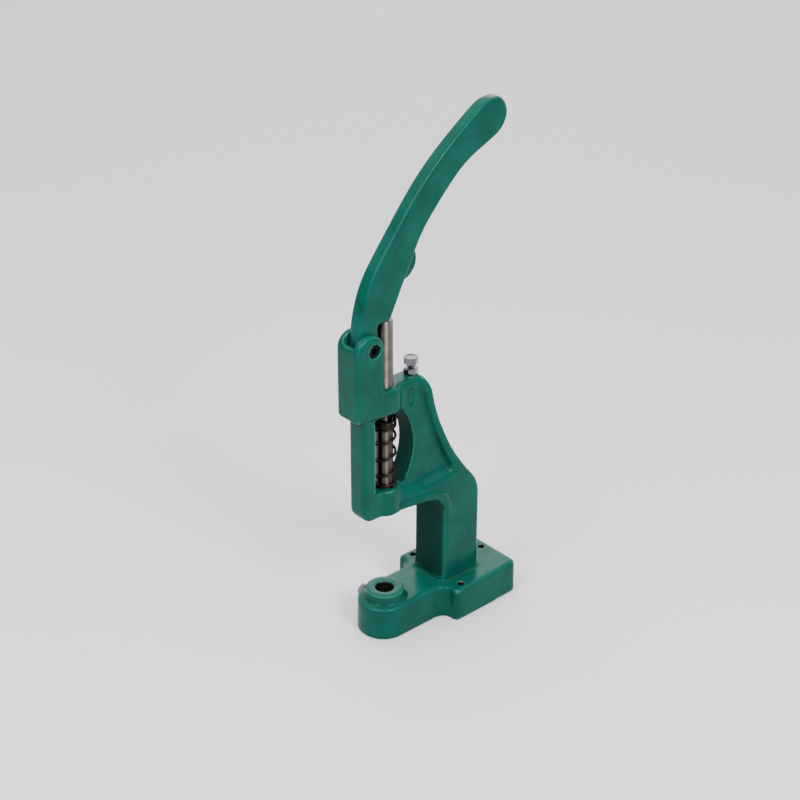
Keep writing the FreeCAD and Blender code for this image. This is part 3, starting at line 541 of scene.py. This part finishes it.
castMesh = softCasting("castFrame", "frame_casting", castSizes, frameDetail)
castFrame = newPiece("castFrame", castMesh, None, "frame", "frame_casting")
leverMesh = softCasting("handLever", "lever", leverSizes, thinLever)
handLever = newPiece("handLever", leverMesh, None, "lever", "lever")
print("castings", len(castFrame.data.polygons), len(handLever.data.polygons))


ramSizes = {"radius": 7.0 * mm, "low": 111 * mm, "high": 278.3 * mm, "chamfer": 1.0 * mm,
            "holeRadius": 4.0 * mm, "holeDepth": 22 * mm, "mouth": 0.3 * mm,
            "pitch": 1.25 * mm, "threadDepth": 0.5 * mm, "rowsPerTurn": 6,
            "edge": 0.3 * mm, "edgeSteps": 3, "segments": 72}


def makeRam():
    s = ramSizes
    rings = []
    top = s["low"] + s["holeDepth"]
    rings.append((top, 0))
    rows = int(s["holeDepth"] / s["pitch"] * s["rowsPerTurn"])
    for row in range(rows + 1):    # the die's thread, cut down to the bar's lower end
        height = top - s["holeDepth"] * row / rows

        def thread(angle, height=height):
            turn = (height / s["pitch"] - angle / math.tau) % 1
            return s["holeRadius"] - s["threadDepth"] * abs(2 * turn - 1)
        rings.append((height, thread))
    outer = roundedProfile([
        (s["holeRadius"] + s["mouth"], s["low"]), (s["radius"] - s["chamfer"], s["low"]),
        (s["radius"], s["low"] + s["chamfer"]), (s["radius"], s["high"] - s["chamfer"]),
        (s["radius"] - s["chamfer"], s["high"]), (0, s["high"])], s["edge"], s["edgeSteps"])
    rings += profileRings(outer)
    mesh = ringMesh("pressRam", rings, s["segments"])
    return newPiece("pressRam", mesh, groundSteel, "ram", "ram")


washerSizes = {"inner": 7.2 * mm, "outer": 10 * mm, "low": 193 * mm, "thick": 1.5 * mm,
               "edge": 0.3 * mm, "edgeSteps": 3, "segments": 72}


def makeWasher():
    s = washerSizes
    low, high = s["low"], s["low"] + s["thick"]
    corners = [(s["inner"], (low + high) / 2), (s["inner"], low), (s["outer"], low), (s["outer"], high),
               (s["inner"], high), (s["inner"], (low + high) / 2)]
    rings = profileRings(roundedProfile(corners, s["edge"], s["edgeSteps"]))
    mesh = ringMesh("springWasher", rings, s["segments"])
    closeSeam(mesh)
    return newPiece("springWasher", mesh, blackOxide, "ram", "spring_washer")


pinSizes = {"radius": 2.5 * mm, "bore": 1.5 * mm, "half": 12 * mm, "height": 197 * mm, "slit": 0.8 * mm,
            "chamfer": 0.5 * mm, "chamferShare": 0.6, "steps": 40, "crease": 35}


def makeCrossPin():
    # rolled spring pin: one slit along it, ends chamfered
    s = pinSizes
    bm = bmesh.new()
    half = math.asin(s["slit"] / 2 / s["radius"])
    stations = [(-s["half"], -s["chamfer"] * s["chamferShare"]), (-s["half"] + s["chamfer"], 0),
                (s["half"] - s["chamfer"], 0), (s["half"], -s["chamfer"] * s["chamferShare"])]
    sections = []
    for x, shrink in stations:
        section = []
        for radius in (s["radius"] + shrink, s["bore"]):
            row = []
            for i in range(s["steps"] + 1):
                a = math.pi / 2 + half + (math.tau - 2 * half) * i / s["steps"]
                row.append(bm.verts.new((x, radius * math.cos(a), s["height"] + radius * math.sin(a))))
            section.append(row)
        sections.append(section)
    for (outer, inner), (outerNext, innerNext) in zip(sections, sections[1:]):
        for a, b in ((outer, outerNext), (innerNext, inner)):
            for i in range(s["steps"]):
                bm.faces.new((a[i], a[i + 1], b[i + 1], b[i]))
        bm.faces.new((outer[0], outerNext[0], innerNext[0], inner[0]))
        bm.faces.new((outer[-1], inner[-1], innerNext[-1], outerNext[-1]))
    for outer, inner in (sections[0], sections[-1]):
        for i in range(s["steps"]):
            bm.faces.new((outer[i], inner[i], inner[i + 1], outer[i + 1]))
    bmesh.ops.recalc_face_normals(bm, faces=bm.faces)
    mesh = bpy.data.meshes.new("rolledCrossPin")
    bm.to_mesh(mesh)
    bm.free()
    shadeByAngle(mesh, s["crease"])
    return newPiece("rolledCrossPin", mesh, springSteel, "ram", "ram_cross_pin")


springSizes = {
    "wire": 1.1 * mm, "coil": 8.7 * mm, "low": 135.2 * mm, "high": 191.8 * mm, "turns": 7,
    # share of the rise reached after each whole turn
    "rise": [0.0, 0.04, 0.215, 0.475, 0.73, 0.92, 0.96, 1.0],
    "seat": 134 * mm, "stroke": 33.2 * mm,
    "stepsPerTurn": 40, "sides": 14,
}


def springTree():
    # spiral of even pitch, its heights remapped turn by turn, then given its wire
    tree = bpy.data.node_groups.new("compressionSpring", "GeometryNodeTree")
    tree.interface.new_socket("Geometry", in_out="OUTPUT", socket_type="NodeSocketGeometry")
    for name in ("Wire radius", "Coil radius", "Low", "High"):
        tree.interface.new_socket(name, in_out="INPUT", socket_type="NodeSocketFloat")
    tree.interface.new_socket("Turns", in_out="INPUT", socket_type="NodeSocketFloat")
    entry = addNode(tree, "NodeGroupInput")
    spiral = addNode(tree, "GeometryNodeCurveSpiral", {
        "Rotations": (entry, "Turns"), "Start Radius": (entry, "Coil radius"),
        "End Radius": (entry, "Coil radius")},
        {"Resolution": springSizes["stepsPerTurn"], "Height": 1.0, "Reverse": True})
    where = addNode(tree, "GeometryNodeInputPosition")
    split = addNode(tree, "ShaderNodeSeparateXYZ", {"Vector": (where, "Position")})
    rise = addNode(tree, "ShaderNodeFloatCurve", {"Value": (split, "Z")})
    marks = rise.mapping.curves[0].points
    shares = springSizes["rise"]
    while len(marks) < len(shares):
        marks.new(0.5, 0.5)
    for turn, share in enumerate(shares):
        marks[turn].location = (turn / (len(shares) - 1), share)
        marks[turn].handle_type = "AUTO_CLAMPED"
    rise.mapping.update()
    up = addNode(tree, "ShaderNodeMapRange", {"Value": (rise, "Value"), "To Min": (entry, "Low"),
                                             "To Max": (entry, "High")})
    join = addNode(tree, "ShaderNodeCombineXYZ",
                   {"X": (split, "X"), "Y": (split, "Y"), "Z": (up, "Result")})
    moved = addNode(tree, "GeometryNodeSetPosition",
                    {"Geometry": (spiral, "Curve"), "Position": (join, "Vector")})
    wire = addNode(tree, "GeometryNodeCurvePrimitiveCircle", {"Radius": (entry, "Wire radius")},
                   {"Resolution": springSizes["sides"]})
    tube = addNode(tree, "GeometryNodeCurveToMesh",
                   {"Curve": (moved, "Geometry"), "Profile Curve": (wire, "Curve")}, {"Fill Caps": True})
    smooth = addNode(tree, "GeometryNodeSetShadeSmooth", {"Geometry": (tube, "Mesh")})
    painted = addNode(tree, "GeometryNodeSetMaterial", {"Geometry": (smooth, "Geometry")},
                      {"Material": springSteel})
    real = addNode(tree, "GeometryNodeRealizeInstances", {"Geometry": (painted, "Geometry")})
    addNode(tree, "NodeGroupOutput", {"Geometry": (real, "Geometry")})
    return tree


def makeSpring():
    s = springSizes
    tree = springTree()
    holder = bpy.data.objects.new("springWork", bpy.data.meshes.new("springWork"))
    bpy.context.scene.collection.objects.link(holder)
    modifier = holder.modifiers.new("coil", "NODES")
    modifier.node_group = tree
    given = {"Wire radius": s["wire"], "Coil radius": s["coil"], "Low": s["low"], "High": s["high"],
             "Turns": float(s["turns"])}
    for item in tree.interface.items_tree:
        if item.item_type == "SOCKET" and item.in_out == "INPUT":
            modifier[item.identifier] = given[item.name]
    graph = bpy.context.evaluated_depsgraph_get()
    mesh = bpy.data.meshes.new_from_object(holder.evaluated_get(graph))
    mesh.name = "returnSpring"
    bpy.data.objects.remove(holder)
    spring = newPiece("returnSpring", mesh, springSteel, "frame", "return_spring")
    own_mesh(spring)
    return spring


makeRam()
makeWasher()
makeCrossPin()
makeSpring()
print("ram, washer, pin and spring made")


# the cone that turns off a hexagon's corners: where it starts, how deep it runs, how flat it is, and
# its rings
headCone = {"start": 0.96, "deep": 0.09, "slope": 1.75, "rings": 6}


def hexHeadRings(acrossFlats, low, high, coneLow=False):
    # hexagon with its outer corners turned off by a cone, on one or both ends
    flat = hexRadius(acrossFlats)
    reach = acrossFlats / 2 * headCone["start"]
    deep = acrossFlats * headCone["deep"]
    count = headCone["rings"]
    rings = []

    def cut(depth):
        cone = reach + depth * headCone["slope"]
        return lambda angle: min(flat(angle), cone)
    if coneLow:
        rings += [(low + deep * i / count, cut(deep * i / count)) for i in range(count + 1)]
    else:
        rings += [(low, flat)]
    for i in range(count, -1, -1):
        rings.append((high - deep * i / count, cut(deep * i / count)))
    return rings


def threadRings(radius, pitch, low, high, depth, rows=8):
    total = max(int((high - low) / pitch * rows), 1)
    rings = []
    for row in range(total + 1):
        height = low + (high - low) * row / total

        def wave(angle, height=height):
            turn = (height / pitch - angle / math.tau) % 1
            return radius - depth * (1 - abs(2 * turn - 1))
        rings.append((height, wave))
    return rings


boltSizes = {"across": 10 * mm, "thread": 3.0 * mm, "pitch": 1.0 * mm, "depth": 0.55 * mm,
             "stopAt": 27.4 * mm, "stopTip": 205 * mm, "stopUnder": 231.5 * mm, "stopHead": 5.7 * mm,
             "nutLow": 223 * mm, "nutHeight": 5.2 * mm,
             "clampHeight": 20.5 * mm, "clampUnder": 23.9 * mm, "clampHead": 4.0 * mm, "clampTip": 7.7 * mm,
             "tipShare": 0.7, "lead": 0.6 * mm,           # the tip is turned down before the thread
             "faceShare": 0.96, "faceRise": 0.15 * mm,    # the round face under the head
             # a shallow dish in the head's top: how far down, and the share of the half width
             "dish": [(0.02 * mm, 0.90), (0.25 * mm, 0.80), (0.3 * mm, 0)],
             "nutGap": 0.05 * mm, "nutMouth": 0.4 * mm, "nutMouthTop": 0.45 * mm,
             "segments": 96, "crease": 24}


def boltRings(tip, under, head):
    # along +Z: tip, thread, underside, head
    s = boltSizes
    half = s["across"] / 2
    top = under + head
    rings = [(tip, 0), (tip, s["thread"] * s["tipShare"])]
    rings += threadRings(s["thread"], s["pitch"], tip + s["lead"], under, s["depth"])
    rings += [(under, half * s["faceShare"])]
    rings += hexHeadRings(s["across"], under + s["faceRise"], top)
    rings += [(top - drop, half * share) for drop, share in s["dish"]]
    return rings


def makeScrews():
    s = boltSizes
    stand = Matrix.Translation((0, s["stopAt"], 0))
    rings = boltRings(s["stopTip"], s["stopUnder"], s["stopHead"])
    stop = ringMesh("stopBolt", rings, s["segments"], stand, s["crease"])
    newPiece("stopBolt", stop, zincPlate, "stop", "stop_bolt")
    low, high = s["nutLow"], s["nutLow"] + s["nutHeight"]
    bore = s["thread"] + s["nutGap"]
    mouth, mouthTop = s["nutMouth"], s["nutMouthTop"]
    rings = [(low + mouth, bore), (low, bore + mouth)] + hexHeadRings(s["across"], low, high, True)
    rings += [(high, bore + mouthTop), (high - mouthTop, bore), (low + mouth, bore)]
    nut = ringMesh("stopLockNut", rings, s["segments"], stand, s["crease"])
    closeSeam(nut)
    newPiece("stopLockNut", nut, zincPlate, "frame", "stop_lock_nut")
    # the clamp screw points along +X from the far side of the nose
    lay = Matrix.Translation((0, 0, s["clampHeight"])) @ Matrix.Rotation(-math.pi / 2, 4, "Y")
    rings = boltRings(s["clampTip"], s["clampUnder"], s["clampHead"])
    clamp = ringMesh("dieClampScrew", rings, s["segments"], lay, s["crease"])
    newPiece("dieClampScrew", clamp, zincPlate, "clamp", "die_clamp_screw")


pivotSizes = {"face": 11.8 * mm, "far": -13 * mm, "head": 5.0 * mm, "headDeep": 3.1 * mm, "shank": 3.0 * mm,
              "chamfer": 0.7 * mm, "socket": 5.0 * mm, "socketDeep": 3.0 * mm,
              "along": -19.8 * mm, "up": 262 * mm,
              "rimShare": 0.62, "rim": 0.25 * mm, "drillPoint": 0.6 * mm,
              "edge": 0.25 * mm, "edgeSteps": 3, "segments": 96, "crease": 30}


def makePivotScrew():
    s = pivotSizes
    hexSocket = hexRadius(s["socket"])
    outer = roundedProfile([
        (0, s["far"]), (s["shank"] - s["chamfer"], s["far"]), (s["shank"], s["far"] + s["chamfer"]),
        (s["shank"], s["face"] - s["headDeep"]), (s["head"], s["face"] - s["headDeep"]),
        (s["head"], s["face"] - s["chamfer"]), (s["head"] - s["chamfer"], s["face"]),
        (s["socket"] * s["rimShare"], s["face"])], s["edge"], s["edgeSteps"])
    rings = profileRings(outer)
    deep = s["face"] - s["socketDeep"]
    rings += [(s["face"] - s["rim"], hexSocket), (deep, hexSocket), (deep - s["drillPoint"], 0)]
    lay = Matrix.Translation((0, s["along"], s["up"])) @ Matrix.Rotation(math.pi / 2, 4, "Y")
    screw = ringMesh("pivotScrew", rings, s["segments"], lay, s["crease"])
    newPiece("pivotScrew", screw, blackOxide, "frame", "pivot_screw")


makeScrews()
makePivotScrew()
print("screws made")


stageLook = {"floor": "#c8c6cb", "size": 40.0, "worldPower": 2.55,
             # white sweep behind and overhead, and a dim room on the camera's side
             "room": "#38383c", "sweep": "#ffffff", "towards": (-0.45, 0.47, 0.76),
             "fadeLow": 0.1, "fadeHigh": 0.7}


def makeStage():
    mesh = bpy.data.meshes.new("paleFloor")
    half = stageLook["size"] / 2
    corners = [(-half, -half, 0), (half, -half, 0), (half, half, 0), (-half, half, 0)]
    mesh.from_pydata(corners, [], [(0, 1, 2, 3)])
    floor = bpy.data.objects.new("paleFloor", mesh)
    bpy.context.scene.collection.objects.link(floor)
    # matt paper: pale and even, with no shine of its own
    paper, tree, shader, place = principled(
        "matStudioPaper", Roughness=0.9, Specular_IOR_Level=0.1, Base_Color=toLinear(stageLook["floor"]))
    mesh.materials.append(paper)
    world = bpy.data.worlds.new("softStudio")
    bpy.context.scene.world = world
    world.use_nodes = True
    sky = world.node_tree
    back = sky.nodes["Background"]
    back.inputs["Strength"].default_value = stageLook["worldPower"]
    around = addNode(sky, "ShaderNodeTexCoord")
    facing = addNode(sky, "ShaderNodeVectorMath", {0: (around, "Generated")}, {1: stageLook["towards"]},
                     operation="DOT_PRODUCT")
    tent = ramp(sky, facing, "Value", [(stageLook["fadeLow"], stageLook["room"]),
                                       (stageLook["fadeHigh"], stageLook["sweep"])])
    sky.links.new(tent.outputs["Color"], back.inputs["Color"])


lamps = [
    # name, place, aims at, size, power
    ("topBox", (0.15, -1.15, 1.4), (0, 0.03, 0.2), 0.7, 31),
    ("keyBox", (1.3, -0.15, 1.25), (0, 0.03, 0.2), 0.5, 37),
    ("backBox", (-1.5, 1.4, 1.1), (-0.9, 0.8, 0), 0.9, 8),
]


def makeLights():
    for name, spot, aim, width, power in lamps:
        light = bpy.data.lights.new(name, "AREA")
        light.shape = "SQUARE"
        light.size = width
        light.energy = power
        lamp = bpy.data.objects.new(name, light)
        lamp.location = spot
        lamp.rotation_euler = (Vector(aim) - Vector(spot)).to_track_quat("-Z", "Y").to_euler()
        bpy.context.scene.collection.objects.link(lamp)


viewSizes = {"azimuth": 48.3, "elevation": 28.8, "focalPixels": 1920, "distance": 1.5699, "roll": 0.1,
             "originAt": (384.7, 624.03), "width": 800, "sensor": 36}


def makeCamera():
    # the bench origin falls on originAt, in pixels of an 800 by 800 picture
    s = viewSizes
    azimuth, elevation, roll = (math.radians(s[k]) for k in ("azimuth", "elevation", "roll"))
    look = Vector((-math.sin(azimuth) * math.cos(elevation), math.cos(azimuth) * math.cos(elevation),
                   -math.sin(elevation)))
    level = Vector((math.cos(azimuth), math.sin(azimuth), 0))
    rise = level.cross(look)
    right = level * math.cos(roll) + rise * math.sin(roll)
    up = rise * math.cos(roll) - level * math.sin(roll)
    middle = s["width"] / 2
    across = (s["originAt"][0] - middle) / s["focalPixels"] * s["distance"]
    height = -(s["originAt"][1] - middle) / s["focalPixels"] * s["distance"]
    data = bpy.data.cameras.new("photoCamera")
    data.sensor_width = s["sensor"]
    data.lens = s["sensor"] * s["focalPixels"] / s["width"]
    data.clip_start = 0.05
    data.clip_end = 30
    camera = bpy.data.objects.new("photoCamera", data)
    turn = Matrix((right, up, -look)).transposed().to_4x4()
    camera.matrix_world = Matrix.Translation(-(right * across + up * height + look * s["distance"])) @ turn
    bpy.context.scene.collection.objects.link(camera)
    bpy.context.scene.camera = camera


makeStage()
makeLights()
makeCamera()
print("stage, light and camera made")
